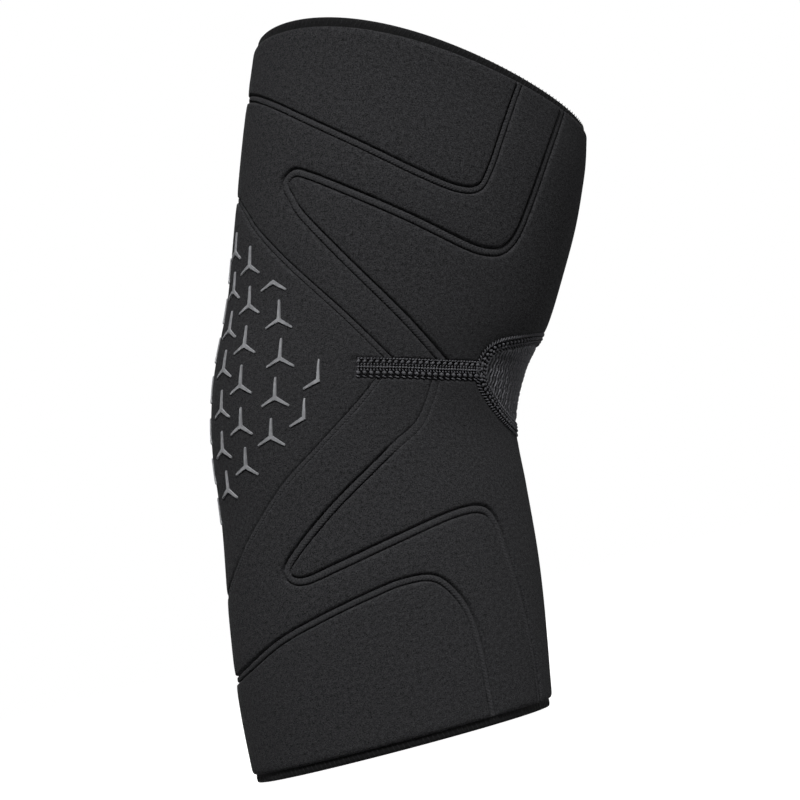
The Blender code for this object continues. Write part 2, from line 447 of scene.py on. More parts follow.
FIELD = Relief(half=1.4, depth=2.1, bead=0.8, wall=0.32)
BAND = Relief(half=1.6, depth=2.2, bead=0.9, wall=0.32)
PAD = Relief(half=1.2, depth=1.8, bead=0.6, wall=0.3, shoulder=0.34)
FAINT_PAD = Relief(half=1.0, depth=1.2, bead=0.35, shoulder=0.3)
SEAM_BED = Relief(half=3.4, depth=1.0, bead=0.0, wall=0.35, shoulder=0.1, reach=1.6)

CHANNELS: dict[str, Channel] = {
    "upper_field": Channel(
        ((-44, 236), (-26, 218), (-9, 201), (9, 185), (22, 174), (32, 167), (39, 165.5), (44.3,
        170.5), (51.6, 181.4), (60.8, 195), (74.5, 214)), FIELD),
    "upper_band": Channel(
        ((84, 203), (74, 186), (64, 171), (55, 157.8), (48.2, 148.9), (42.5, 145), (36.9,
        145.4), (30, 149.3), (15, 161.5), (-3, 175.7), (-13, 183.6), (-18, 186.6), (-21.9, 184),
        (-21.2, 179.5), (-18.8, 172), (-9, 154.5), (6, 130.2), (16, 112.4), (18, 109)), BAND),
    "upper_pad": Channel(
        ((-44, 208), (-39, 190), (-36.3, 179), (-33.7, 171), (-26.2, 157), (-13, 136.7), (0,
        116)), PAD),
    "forearm_pad": Channel(
        ((-3, 118.5), (-15.3, 109.3), (-31.2, 99.3), (-47, 89.3), (-61.3, 76.5), (-71, 65),
        (-82, 50)), FAINT_PAD),
    "forearm_band": Channel(
        ((14, 116), (9.9, 109.2), (6, 103.1), (1, 97.6), (-7, 93.4), (-14.6, 89.2), (-32, 79.3),
        (-47, 69), (-52.3, 63.2), (-48, 59.2), (-35, 60.9), (-15, 64.4), (5, 67.6), (14.5, 67),
        (18, 61.8), (19, 51), (19.8, 34), (18.9, 15), (15.6, -8)), BAND, 30.0),
    "forearm_field": Channel(
        ((-94, 26), (-75, 35.5), (-60, 42.5), (-44, 46.5), (-28, 49.5), (-16, 51),
         (-6, 49.5), (0, 42), (2.5, 32), (2.5, 18), (0.5, -8)), FIELD),
}
SEAM_LINE: Points = ((-13.1, 120), (-1, 116.7), (11, 113.3), (23.6, 110), (25.5, 109.5))
CROOK_LINE: Points = (
    (74, 118.6), (60, 118.2), (49.9, 117.9), (41.1, 117.9), (35.5, 118), (31.4, 117.4),
    (28.3, 115.8), (25.6, 113.2), (23.9, 109.9), (23.3, 105.2), (25, 99.7), (27, 95.4),
    (29.3, 91.7), (32.1, 88.3), (37, 84), (43, 80),
)
# Where the net follows the crook's outline, outside and inside it, and the hems, inside them.
CROOK_RAILS = (0.5, 1.2, 2.2, 3.4, -0.5, -1.2, -1.8, -2.4, -3.1)
HEM_RAILS = (0, 0.3, 0.7, 1.2, 1.9, 2.8)


@dataclass(frozen=True)
class Panel:
    """A foam panel: a place inside it, and where its pattern is centred."""

    seed: tuple[float, float]
    side: Side
    fill: float = 0.45


PANELS: dict[str, Panel] = {
    "upper_field": Panel((0, 215), Side.BACK),
    "upper_band": Panel((-28, 195), Side.BACK),
    "upper_front": Panel((58, 138), Side.CROOK),
    "elbow_pad": Panel((-48, 115), Side.BACK, 0.6),
    "forearm_band": Panel((-66, 55), Side.BACK),
    "forearm_front": Panel((18, 82), Side.CROOK),
    "forearm_field": Panel((-40, 20), Side.BACK),
}


# ---------------------------------------------------------------- materials


def add_node(
    tree: bpy.types.NodeTree, kind: str, inputs: dict | None = None, **settings: object
) -> bpy.types.Node:
    """Adds a shader node with its settings and links.

    Args:
        tree: The material's tree.
        kind: The node's type.
        inputs: A value, or another node's output, for each named or numbered input.
        settings: The node's own properties.

    Returns:
        The node.
    """
    node = tree.nodes.new(kind)
    for name, value in settings.items():
        setattr(node, name, value)
    for key, value in (inputs or {}).items():
        if isinstance(value, bpy.types.NodeSocket):
            tree.links.new(value, node.inputs[key])
        else:
            node.inputs[key].default_value = value
    return node


def new_material(name: str) -> tuple[bpy.types.Material, bpy.types.NodeTree, bpy.types.Node]:
    """A new material, its tree and its Principled shader."""
    material = bpy.data.materials.new(name)
    material.use_nodes = True
    tree = material.node_tree
    return material, tree, tree.nodes["Principled BSDF"]


@dataclass(frozen=True)
class KnitFinish:
    """Brushed polyester and elastane knit: matt black, softly mottled, with a faint nap.

    The loops of the real cloth are about 0.35 mm, too fine to show, so the loops here are
    drawn at the loop size given.
    """

    name: str = "brushed_stretch_knit"
    dark: str = "0e0e0f"
    light: str = "464648"
    # The pressed colour is a painted highlight, lighter where light falls on the channel floors.
    pressed: str = "444446"
    loop: float = 0.85
    fibre: float = 0.5
    nap: float = 0.3
    nap_share: float = 1.2
    mottle: float = 1.3
    blotch_share: float = 0.6
    # Half the range of noise that runs from the dark colour to the light one.
    contrast: float = 0.3
    # The channel floors: their ribs' spacing, their painted highlight's share and its swing with the
    # ribs.
    rib: float = 1.1
    floor_highlight_share: float = 0.34
    rib_share: float = 0.2
    rib_rise: float = 0.9
    row_rise: float = 0.3
    roughness: float = 0.88
    sheen: float = 0.02
    bump: float = 0.6
    relief: float = 0.09

    def build(self) -> bpy.types.Material:
        """Makes the material, which reads the piece's own cloth pattern in millimetres."""
        material, tree, shader = new_material(self.name)
        cloth = add_node(tree, "ShaderNodeUVMap", uv_map="cloth").outputs[0]
        fibre, mottle, nap = (
            add_node(
                tree, "ShaderNodeTexNoise",
                {"Vector": cloth, "Scale": 1 / size, "Detail": detail, "Roughness": rough},
            ).outputs[0]
            for size, detail, rough in (
                (self.fibre, 3.0, 0.65), (self.mottle, 3.0, 0.6), (self.nap, 2.0, 0.7))
        )
        rows = add_node(
            tree, "ShaderNodeTexWave",
            {"Vector": cloth, "Scale": 0.314 / self.loop, "Distortion": 1.6,
             "Detail": 1.0, "Detail Scale": 2.0},
            bands_direction="DIAGONAL",
        ).outputs["Fac"]
        pressed = add_node(tree, "ShaderNodeAttribute", attribute_name="pressed").outputs["Fac"]
        grain = add_node(
            tree, "ShaderNodeMath", {0: nap, 1: self.nap_share, 2: fibre},
            operation="MULTIPLY_ADD").outputs[0]
        blotch = add_node(
            tree, "ShaderNodeMath", {0: mottle, 1: self.blotch_share, 2: grain},
            operation="MULTIPLY_ADD").outputs[0]
        middle = (1 + self.nap_share + self.blotch_share) / 2
        tone = add_node(
            tree, "ShaderNodeMapRange",
            {"Value": blotch, "From Min": middle - self.contrast,
             "From Max": middle + self.contrast},
        ).outputs[0]
        base = add_node(tree, "ShaderNodeMix", {"Factor": tone}, data_type="RGBA")
        base.inputs[6].default_value = srgb(self.dark)
        base.inputs[7].default_value = srgb(self.light)
        slant = add_node(tree, "ShaderNodeAttribute", attribute_name="slant").outputs["Fac"]
        turns = add_node(
            tree, "ShaderNodeMath", {0: slant, 1: math.tau / self.rib}, operation="MULTIPLY",
        ).outputs[0]
        ribs = add_node(tree, "ShaderNodeMath", {0: turns}, operation="SINE").outputs[0]
        ribs_here = add_node(
            tree, "ShaderNodeMath", {0: ribs, 1: pressed}, operation="MULTIPLY").outputs[0]
        # Painted highlight: the channel floors are mixed towards the lighter pressed colour.
        floor_highlight_mix = add_node(
            tree, "ShaderNodeMath", {0: pressed, 1: self.floor_highlight_share}, operation="MULTIPLY").outputs[0]
        floor_highlight_mix = add_node(
            tree, "ShaderNodeMath", {0: ribs_here, 1: self.rib_share, 2: floor_highlight_mix},
            operation="MULTIPLY_ADD").outputs[0]
        colour = add_node(tree, "ShaderNodeMix", {"Factor": floor_highlight_mix}, data_type="RGBA")
        tree.links.new(base.outputs[2], colour.inputs[6])
        colour.inputs[7].default_value = srgb(self.pressed)
        tree.links.new(colour.outputs[2], shader.inputs["Base Color"])
        height = add_node(
            tree, "ShaderNodeMath", {0: rows, 1: self.row_rise, 2: grain}, operation="MULTIPLY_ADD",
        ).outputs[0]
        height = add_node(
            tree, "ShaderNodeMath", {0: ribs_here, 1: self.rib_rise, 2: height},
            operation="MULTIPLY_ADD").outputs[0]
        bump = add_node(
            tree, "ShaderNodeBump",
            {"Strength": self.bump, "Distance": self.relief * MM, "Height": height},
        ).outputs[0]
        tree.links.new(bump, shader.inputs["Normal"])
        shader.inputs["Roughness"].default_value = self.roughness
        shader.inputs["Specular IOR Level"].default_value = 0.04
        shader.inputs["Sheen Weight"].default_value = self.sheen
        shader.inputs["Sheen Roughness"].default_value = 0.45
        return material


@dataclass(frozen=True)
class PlainFinish:
    """A finish of one colour broken up by a fine grain, such as thread, tape or silicone."""

    name: str
    dark: str
    light: str
    grain: float
    roughness: float
    bump: float = 0.3
    relief: float = 0.05
    sheen: float = 0.0
    specular: float = 0.35
    # Whether the tone also follows the piece's "ribs" attribute: painted shade in the grooves, painted
    # light on the crests.
    paints_rib_shade: bool = False

    def build(self) -> bpy.types.Material:
        """Makes the material on Object coordinates."""
        material, tree, shader = new_material(self.name)
        place = add_node(tree, "ShaderNodeTexCoord").outputs["Object"]
        grain = add_node(
            tree, "ShaderNodeTexNoise",
            {"Vector": place, "Scale": 1 / (self.grain * MM), "Detail": 3.0},
        ).outputs[0]
        tone = add_node(
            tree, "ShaderNodeMapRange", {"Value": grain, "From Min": 0.3, "From Max": 0.7},
        ).outputs[0]
        if self.paints_rib_shade:
            # Painted shade and light: darker where a rib lies deep, lighter on its crest.
            ribs = add_node(tree, "ShaderNodeAttribute", attribute_name="ribs").outputs["Fac"]
            tone = add_node(
                tree, "ShaderNodeMath", {0: tone, 1: 0.35, 2: ribs},
                operation="MULTIPLY_ADD", use_clamp=True).outputs[0]
        colour = add_node(tree, "ShaderNodeMix", {"Factor": tone}, data_type="RGBA")
        colour.inputs[6].default_value = srgb(self.dark)
        colour.inputs[7].default_value = srgb(self.light)
        tree.links.new(colour.outputs[2], shader.inputs["Base Color"])
        bump = add_node(
            tree, "ShaderNodeBump",
            {"Strength": self.bump, "Distance": self.relief * MM, "Height": grain},
        ).outputs[0]
        tree.links.new(bump, shader.inputs["Normal"])
        shader.inputs["Roughness"].default_value = self.roughness
        shader.inputs["Specular IOR Level"].default_value = self.specular
        shader.inputs["Sheen Weight"].default_value = self.sheen
        return material


# Spun polyester sewing thread: a touch lighter than the cloth, with the shine of its twist.
THREAD = PlainFinish("spun_sewing_thread", "404043", "646468", 0.5, 0.6, 0.5, 0.08, 0.02, 0.2)
# Overlock thread in the cloth's own black.
HEM_THREAD = PlainFinish("black_overlock_thread", "1a1a1b", "2e2e30", 0.5, 0.8, 0.4, 0.06, 0.0, 0.1)
# The cut edges of the cloth under the stitches, drawn the darkest cloth on the sleeve: painted shade
# between the stitches.
SHADED_SEAM_GROUND = PlainFinish("seam_allowance", "0b0b0c", "1b1b1c", 0.5, 0.95, 0.5, 0.1, 0.0, 0.1)
# Warp-knit mesh, darker than the cover: painted shade for its openings and rib grooves, painted light
# on its rib crests.
SHADED_MESH_KNIT = PlainFinish(
    "ribbed_mesh_knit", "0a0a0b", "7a7a7e", 0.45, 0.85, 0.5, 0.1, 0.0, 0.06, paints_rib_shade=True)
# Smooth nylon tricot lining.
LINING = PlainFinish("tricot_lining", "1a1a1c", "29292b", 0.6, 0.75, 0.4, 0.06, 0.03, 0.25)
# Woven elastic tape, ribbed across.
ELASTIC = PlainFinish("woven_elastic", "1c1c1e", "303033", 0.5, 0.65, 0.5, 0.08, 0.03)
# Overlocked fold of the cover at the hems, darker than the cover: painted shade where the fold turns
# from the light.
SHADED_HEM_KNIT = PlainFinish("overlocked_hem", "0b0b0c", "19191a", 0.6, 0.85, 0.6, 0.1, 0.04, 0.2)
# Screen-printed silicone: light grey, softly shining.
SILICONE = PlainFinish("printed_silicone", "828386", "a2a3a6", 1.4, 0.42, 0.12, 0.04, 0.0, 0.5)


# ---------------------------------------------------------------- the pattern


@dataclass
class HalfPattern:
    """The left half of the cover as one net of triangles that follows every pressed line."""

    form: SleeveForm
    rim: tuple[float, float] = (0.0125, 0.9875)
    spacing: float = 2.3
    line_step: float = 1.0
    rib: float = 1.45
    border: float = 4.2
    # Where the finer net of the mesh insert is looked for: shares up the sleeve, and mm round it.
    crook_span: tuple[float, float] = (0.28, 0.62)
    crook_reach: float = 50.0
    rib_step: float = 1.1
    corners: list = field(default_factory=list)
    edges: list = field(default_factory=list)
    walls: list = field(default_factory=list)

    def flat(self, share: np.ndarray, angle: np.ndarray) -> np.ndarray:
        """Places as they lie in the flat pattern, in millimetres."""
        return np.stack([angle * self.form.girth_scale, share * self.form.tube_length], -1)

    def add_line(self, line: SurfaceLine, wall: bool, kept: np.ndarray | None = None) -> None:
        """Makes the net follow a line.

        Args:
            line: The line.
            wall: Whether it parts one panel from the next.
            kept: Which of its points to use, or all of them.
        """
        first = len(self.corners)
        places = self.flat(line.share, line.angle)
        places = places if kept is None else places[kept]
        self.corners += places.tolist()
        for i, step in enumerate(np.linalg.norm(np.diff(places, axis=0), axis=1)):
            if step < 4 * self.line_step:
                self.edges.append((first + i, first + i + 1))
                self.walls.append(wall)

    def lay_lines(self) -> None:
        """Sets out every line: channels with their rails, seam, crook outline and hems."""
        form = self.form
        self.lines = {
            name: SurfaceLine.from_side(form, channel.points, self.line_step)
            for name, channel in CHANNELS.items()
        }
        self.lines["seam"] = SurfaceLine.from_side(form, SEAM_LINE, self.line_step)
        self.lines["crook"] = SurfaceLine.from_side(form, CROOK_LINE, self.line_step)
        self.near = {name: NearestLine(line) for name, line in self.lines.items()}
        reliefs = {name: channel.relief for name, channel in CHANNELS.items()}
        reliefs["seam"] = SEAM_BED
        for name, line in self.lines.items():
            self.add_line(line, wall=True)
            if name == "crook":
                rails = [*CROOK_RAILS, -self.border]
            else:
                rails = [r * sign for r in reliefs[name].rails() for sign in (1, -1)]
            for distance in rails:
                rail = line.offset(distance)
                true = self.near[name].distance(rail.points)
                kept = true > abs(distance) - 0.06
                self.add_line(rail, wall=distance == -self.border, kept=kept)
        low, high = self.rim
        turn = np.linspace(-0.02, math.pi + 0.02, 100)
        for inset in HEM_RAILS:
            step = inset / form.tube_length
            for share in (low + step, high - step):
                self.add_line(SurfaceLine(form, np.full_like(turn, share), turn), inset == 0)
        up = np.linspace(low - 0.01, high + 0.01, 130)
        for angle in (0.0, math.pi):
            self.add_line(SurfaceLine(form, up, np.full_like(up, angle)), wall=False)

    def scatter(self) -> None:
        """Fills the pads with an even net of points, and the mesh insert with a finer one."""
        form, low, high = self.form, *self.rim
        across, up = math.pi * form.girth_scale, form.tube_length
        rows = np.arange(low * up + 1.6, high * up - 1.6, self.spacing * 0.87)
        grid = [
            (x, y)
            for n, y in enumerate(rows)
            for x in np.arange(1.2 + (n % 2) * self.spacing / 2, across - 1, self.spacing)
        ]
        flat = np.array(grid)
        share, angle = flat[:, 1] / up, flat[:, 0] / form.girth_scale
        points = form.at(share, angle)
        clear = np.full(len(points), np.inf)
        for name, near in self.near.items():
            reach = CHANNELS[name].relief.half + 3.7 if name in CHANNELS else 4.6
            clear = np.minimum(clear, near.distance(points) - reach)
        self.corners += flat[clear > 0.5].tolist()
        fine = np.array([
            (x, y)
            for y in np.arange(self.crook_span[0] * up, self.crook_span[1] * up, self.rib_step)
            for x in np.arange(self.rib / 8, self.crook_reach, self.rib / 4)
        ])
        share, angle = fine[:, 1] / up, fine[:, 0] / form.girth_scale
        inside = self.in_crook(share, angle)
        far = self.near["crook"].distance(form.at(share, angle)) > self.border + 0.3
        self.corners += fine[inside & far].tolist()

    def in_crook(self, share: np.ndarray, angle: np.ndarray) -> np.ndarray:
        """Whether each place is inside the crook insert's outline."""
        ring = self.flat(self.lines["crook"].share, self.lines["crook"].angle)
        ring = np.vstack([ring, (-40.0, ring[-1, 1]), (-40.0, ring[0, 1])])
        x, y = self.flat(share, angle).T
        odd = np.zeros(len(x), bool)
        for (x0, y0), (x1, y1) in zip(ring, np.roll(ring, -1, axis=0)):
            crosses = (y0 > y) != (y1 > y)
            slope = (x1 - x0) * (y - y0) / (y1 - y0 if y1 != y0 else 1e-12) + x0
            odd ^= crosses & (x < slope)
        return odd

    def triangulate(self) -> None:
        """Makes the net, keeps the left half, and names the panel of each triangle."""
        corners = [Vector(c) for c in self.corners]
        made = delaunay_2d_cdt(corners, self.edges, [], 0, 1e-4, True)
        places = np.array([tuple(v) for v in made[0]])
        share, angle = places[:, 1] / self.form.tube_length, places[:, 0] / self.form.girth_scale
        low, high = self.rim
        at_low, at_high = abs(share - low) < 2e-6, abs(share - high) < 2e-6
        self.share = np.where(at_low, low, np.where(at_high, high, share))
        middle = abs(angle) < 2e-5
        back = abs(angle - math.pi) < 2e-5
        self.angle = np.where(middle, 0.0, np.where(back, math.pi, angle))
        self.centre = middle | back
        triangles = np.array([f for f in made[2]])
        mid_share, mid_angle = self.share[triangles].mean(1), self.angle[triangles].mean(1)
        inside = (mid_angle > 0) & (mid_angle < math.pi) & (mid_share > low) & (mid_share < high)
        a, b, c = (places[triangles[:, k]] for k in range(3))
        area = (b - a)[:, 0] * (c - a)[:, 1] - (b - a)[:, 1] * (c - a)[:, 0]
        triangles, area = triangles[inside & (abs(area) > 1e-7)], area[inside & (abs(area) > 1e-7)]
        self.triangles = np.where((area > 0)[:, None], triangles, triangles[:, ::-1])
        self.points = self.form.at(self.share, self.angle)
        fences = {
            tuple(sorted(edge))
            for edge, sources in zip(made[1], made[4])
            if any(self.walls[i] for i in sources if i < len(self.walls))
        }
        self.label(fences)

    def label(self, fences: set[tuple[int, int]]) -> None:
        """Floods each panel from its seed, up to the walls, and gives crumbs to a neighbour.

        Args:
            fences: The net's edges that part one panel from the next.
        """
        beside: dict[tuple[int, int], list[int]] = {}
        for t, corners in enumerate(self.triangles.tolist()):
            for i, j in ((0, 1), (1, 2), (2, 0)):
                beside.setdefault(tuple(sorted((corners[i], corners[j]))), []).append(t)
        open_to: list[list[int]] = [[] for _ in self.triangles]
        fenced: list[list[int]] = [[] for _ in self.triangles]
        for edge, pair in beside.items():
            if len(pair) == 2:
                links = fenced if edge in fences else open_to
                links[pair[0]].append(pair[1])
                links[pair[1]].append(pair[0])
        flat = self.flat(self.share, self.angle)[self.triangles].mean(1)
        starts = {
            name: self.flat(*self.form.locate(np.array([panel.seed], float)))[0]
            for name, panel in PANELS.items()
        }
        crook = self.lines["crook"]
        for name, inwards in (("crook_border", -self.border / 2), ("crook_mesh", -self.border * 2)):
            moved = crook.offset(inwards)
            k = len(moved.share) // 2
            starts[name] = self.flat(moved.share[k], moved.angle[k])
        self.names = list(starts)
        owner = np.full(len(self.triangles), -1)
        for n, place in enumerate(starts.values()):
            queue = [int(np.argmin(((flat - place) ** 2).sum(1)))]
            owner[queue[0]] = n
            while queue:
                for t in open_to[queue.pop()]:
                    if owner[t] < 0:
                        owner[t] = n
                        queue.append(t)
        LOG.info("%d of %d triangles are crumbs", (owner < 0).sum(), len(owner))
        while (owner < 0).any():
            before = (owner < 0).sum()
            for t in np.flatnonzero(owner < 0):
                around = [owner[k] for k in open_to[t] + fenced[t] if owner[k] >= 0]
                if around:
                    owner[t] = max(set(around), key=around.count)
            if (owner < 0).sum() == before:
                break
        self.owner = owner


# ---------------------------------------------------------------- how the pads swell


@dataclass
class PadSwell:
    """How far the cloth over each pad swells, from a cloth simulation of the whole cover.

    The cover is a tube of cloth held at every channel, seam and hem, and pressed from inside.
    """

    form: SleeveForm
    pattern: HalfPattern
    around: int = 80
    along: int = 68
    held: float = 2.7
    pressure: float = 4.0
    cap: float = 2.4
    frames: int = 20

    def clearance(self, share: np.ndarray, angle: np.ndarray) -> np.ndarray:
        """How far each place is from whatever holds the cloth down."""
        points = self.form.at(share, angle)
        best = np.minimum(share - 0.012, 0.988 - share) * self.form.tube_length
        for near in self.pattern.near.values():
            best = np.minimum(best, near.distance(points))
        turned = (angle + math.pi) % math.tau - math.pi
        return np.where(self.pattern.in_crook(share, np.abs(turned)), 0, best)

    def run(self) -> None:
        """Fills the table of swells, 0 where the cloth is held and 1 where it is fullest."""
        share = np.linspace(0, 1, self.along + 1)
        angle = np.linspace(0, math.tau, self.around + 1)
        grid_share, grid_angle = (g.ravel() for g in np.meshgrid(share, angle, indexing="ij"))
        clear = self.clearance(grid_share, grid_angle)
        swell = self.simulate(grid_share, grid_angle, clear)
        table = swell.reshape(self.along + 1, self.around + 1)
        table[:, -1] = table[:, 0]
        table = (table + table[:, ::-1]) / 2
        for _ in range(2):
            side = (np.roll(table[:, :-1], 1, 1) + np.roll(table[:, :-1], -1, 1)) / 2
            table[:, :-1] = table[:, :-1] * 0.6 + side * 0.4
            table[:, -1] = table[:, 0]
            table[1:-1] = table[1:-1] * 0.6 + (table[2:] + table[:-2]) * 0.2
        self.table = table

    def simulate(
        self, share: np.ndarray, angle: np.ndarray, clear: np.ndarray
    ) -> np.ndarray:
        """Presses the held tube of cloth from inside.

        Args:
            share: Each vertex's share of the tube's length.
            angle: Each vertex's angle.
            clear: Each vertex's distance from what holds it.

        Returns:
            Each vertex's swell, as a share of the fullest.
        """
        deselect()
        bpy.ops.mesh.primitive_grid_add(
            x_subdivisions=self.around, y_subdivisions=self.along, size=2)
        cloth = bpy.context.object
        flat, _ = read_mesh(cloth)
        column = np.round((flat[:, 0] + 1) / 2 * self.around).astype(int)
        row = np.round((flat[:, 1] + 1) / 2 * self.along).astype(int)
        order = row * (self.around + 1) + column
        rest = self.form.at(share, angle)[order] * MM
        cloth.data.vertices.foreach_set("co", rest.ravel())
        cloth.data.update()
        group = cloth.vertex_groups.new(name="held")
        joined = (column == 0) | (column == self.around)
        pinned = (clear[order] < self.held) | joined & (clear[order] < 6)
        group.add(np.flatnonzero(pinned).tolist(), 1.0, "REPLACE")
        turn_outwards(cloth)
        modifier = cloth.modifiers.new("Cloth", "CLOTH")
        settings = modifier.settings
        settings.quality = 6
        settings.mass = 0.2
        settings.tension_stiffness = settings.compression_stiffness = 12
        settings.shear_stiffness = 4
        settings.bending_stiffness = 0.4
        settings.vertex_group_mass = "held"
        settings.use_pressure = True
        settings.uniform_pressure_force = self.pressure
        settings.effector_weights.gravity = 0
        modifier.collision_settings.use_collision = False
        modifier.point_cache.frame_start, modifier.point_cache.frame_end = 1, self.frames
        scene = bpy.context.scene
        for number in range(1, self.frames + 1):
            scene.frame_set(number)
        evaluated = cloth.evaluated_get(bpy.context.evaluated_depsgraph_get())
        after = np.empty(len(evaluated.data.vertices) * 3)
        evaluated.data.vertices.foreach_get("co", after)
        scene.frame_set(1)
        out = self.form.normal(share, angle)[order]
        rise = ((after.reshape(-1, 3) - rest) * out).sum(1) / MM
        bpy.data.objects.remove(cloth)
        capped = np.clip(np.nan_to_num(rise), 0, self.cap)
        LOG.info("the pads swell by %.2f mm at most, %.2f mm before the cap",
                 capped.max(), np.nanmax(rise))
        swell = np.zeros(len(share))
        swell[order] = capped / max(capped.max(), 1e-6)
        return swell

    def at(self, share: np.ndarray, angle: np.ndarray) -> np.ndarray:
        """The swell at these places of the left half."""
        row = np.clip(share, 0, 1) * self.along
        column = np.clip(angle, 0, math.pi) / math.tau * self.around
        i = np.clip(row.astype(int), 0, self.along - 1)
        j = np.clip(column.astype(int), 0, self.around - 1)
        p, q = row - i, column - j
        low = self.table[i, j] * (1 - q) + self.table[i, j + 1] * q
        high = self.table[i + 1, j] * (1 - q) + self.table[i + 1, j + 1] * q
        return low * (1 - p) + high * p


# ---------------------------------------------------------------- the pieces


@dataclass
class ElbowBend:
    """Where the elbow bends, from the forearm's body to the upper arm's; the pieces aren't bent with
    it.
    """

    axis: tuple[float, float, float] = (-1.0, 0.0, 115.0)
    lean: float = 14.7
    half_length: float = 82.0

    def follow(self, obj: bpy.types.Object) -> None:
        """Bakes the piece's placement into its mesh."""
        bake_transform(obj)

    def dress(
        self, obj: bpy.types.Object, material: bpy.types.Material, slot: str, *nodes: str
    ) -> None:
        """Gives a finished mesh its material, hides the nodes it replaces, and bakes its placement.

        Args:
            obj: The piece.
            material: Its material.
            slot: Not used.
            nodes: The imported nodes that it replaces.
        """
        obj.data.materials.append(material)
        if nodes:
            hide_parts(*nodes)
        self.follow(obj)


@dataclass
class CoverPads:
    """The seven pads of foam under one knit cover, parted by the pressed channels."""

    form: SleeveForm
    pattern: HalfPattern
    swell: PadSwell
    bend: ElbowBend
    underside: float = 3.1
    crown: float = 0.75
    rim_drop: float = 1.7
    rim_radius: float = 2.4
    crook_drop: float = 0.9
    crook_radius: float = 2.6
    # The crown dies out by this depth, and nothing is pressed deeper than the deepest.
    crown_fade: float = 1.4
    deepest: float = 2.2
    # How far from a channel its ribs are laid out, and how they slant away from its middle.
    rib_reach: float = 4.0
    rib_slant: float = 0.9

    def lay_relief(self) -> None:
        """Works out how deep the outer surface lies at every point of the net."""
        net = self.pattern
        depth = np.zeros(len(net.points))
        self.pressed = np.zeros(len(net.points))
        self.slant = np.zeros(len(net.points))
        self.ribs = np.zeros(len(net.points))
        seam = net.lines["seam"]
        order = np.argsort(seam.angle)
        seam_share = np.interp(net.angle, seam.angle[order], seam.share[order])
        above_seam = (net.share - seam_share) * self.form.tube_length
        for name, channel in CHANNELS.items():
            distance = net.near[name].distance(net.points)
            share = channel.share_of_depth(net.near[name].along(net.points))
            # A channel stops under the side seam and doesn't come out beyond it.
            own_side = above_seam if name.startswith("upper") else -above_seam
            share = share * smoothstep((own_side + 0.5) / 1.5)
            depth = np.maximum(depth, channel.relief.at(distance) * share)
            # Where the knit's painted highlight lies on the channel floors.
            on_floor = share * (1 - smoothstep((distance - channel.relief.half * 0.7) / 0.5))
            self.pressed = np.maximum(self.pressed, on_floor)
            close = distance < self.rib_reach
            run = net.near[name].along(net.points[close])
            self.slant[close] = run + self.rib_slant * distance[close]
        depth = np.maximum(depth, SEAM_BED.at(net.near["seam"].distance(net.points)))
        low, high = net.rim
        inset = np.minimum(net.share - low, high - net.share) * self.form.tube_length
        depth = np.maximum(depth, self.rounded(inset, self.rim_drop, self.rim_radius))
        from_crook = net.near["crook"].distance(net.points)
        depth = np.maximum(depth, self.rounded(from_crook, self.crook_drop, self.crook_radius))
        crown = self.crown * (1 - self.swell.at(net.share, net.angle))
        on_top = np.clip(1 - depth / self.crown_fade, 0, 1)
        self.depth = np.minimum(depth + crown * on_top, self.deepest)

    @staticmethod
    def rounded(inset: np.ndarray, drop: float, radius: float) -> np.ndarray:
        """The drop of a rounded edge at these distances inside it."""
        t = 1 - np.clip(inset / radius, 0, 1)
        return drop * (1 - np.sqrt(np.clip(1 - t * t, 0, 1)))

    def closed(
        self, name: str, owner: int, outer: np.ndarray, inner: float, side: Side
    ) -> bpy.types.Object:
        """Both halves of one region of the net as a closed body.

        Args:
            name: The piece's name.
            owner: The region's number.
            outer: The depth of the outer surface at every point of the net.
            inner: The depth of the underside.
            side: Where the cloth's pattern is centred.

        Returns:
            The piece, with its cloth pattern as a UV map.
        """
        net = self.pattern
        triangles = net.triangles[net.owner == owner]
        used, local = np.unique(triangles, return_inverse=True)
        triangles = local.reshape(-1, 3)
        count, centre = len(used), net.centre[used]
        mirror = np.where(centre, np.arange(count), count + np.cumsum(~centre) - 1)
        both = np.vstack([triangles, mirror[triangles][:, ::-1]])
        share, angle = net.share[used], net.angle[used]
        top = self.form.at(share, angle, outer[used])
        below = self.form.at(share, angle, inner)
        flip = np.array((1.0, -1.0, 1.0))
        top = np.vstack([top, (top * flip)[~centre]])
        below = np.vstack([below, (below * flip)[~centre]])
        total = len(top)
        ways = np.concatenate([both[:, (0, 1)], both[:, (1, 2)], both[:, (2, 0)]])
        code = ways[:, 0] * total + ways[:, 1]
        back = ways[:, 1] * total + ways[:, 0]
        rim = ways[~np.isin(code, back)]
        walls = np.stack([rim[:, 1], rim[:, 0], rim[:, 0] + total, rim[:, 1] + total], 1)
        faces = both.tolist() + (both[:, ::-1] + total).tolist() + walls.tolist()
        obj = mesh_object(name, np.vstack([top, below]), faces)
        turn = angle if side is Side.CROOK else math.pi - angle
        u = np.concatenate([turn, -turn[~centre]]) * self.form.girth_scale
        v = np.concatenate([share, share[~centre]]) * self.form.tube_length
        self.add_pattern(obj, np.tile(u, 2), np.tile(v, 2))
        layers = {"pressed": self.pressed, "slant": self.slant, "ribs": self.ribs}
        for title, values in layers.items():
            halves = np.concatenate([values[used], values[used][~centre]])
            layer = obj.data.attributes.new(title, "FLOAT", "POINT")
            layer.data.foreach_set("value", np.tile(halves, 2).astype(np.float32))
        shade(obj, 55)
        return obj

    @staticmethod
    def add_pattern(obj: bpy.types.Object, u: np.ndarray, v: np.ndarray) -> None:
        """Writes each vertex's place in the cloth, in millimetres, as the UV map."""
        loops = np.empty(len(obj.data.loops), int)
        obj.data.loops.foreach_get("vertex_index", loops)
        layer = obj.data.uv_layers.new(name="cloth")
        layer.data.foreach_set("uv", np.stack([u[loops], v[loops]], 1).ravel())

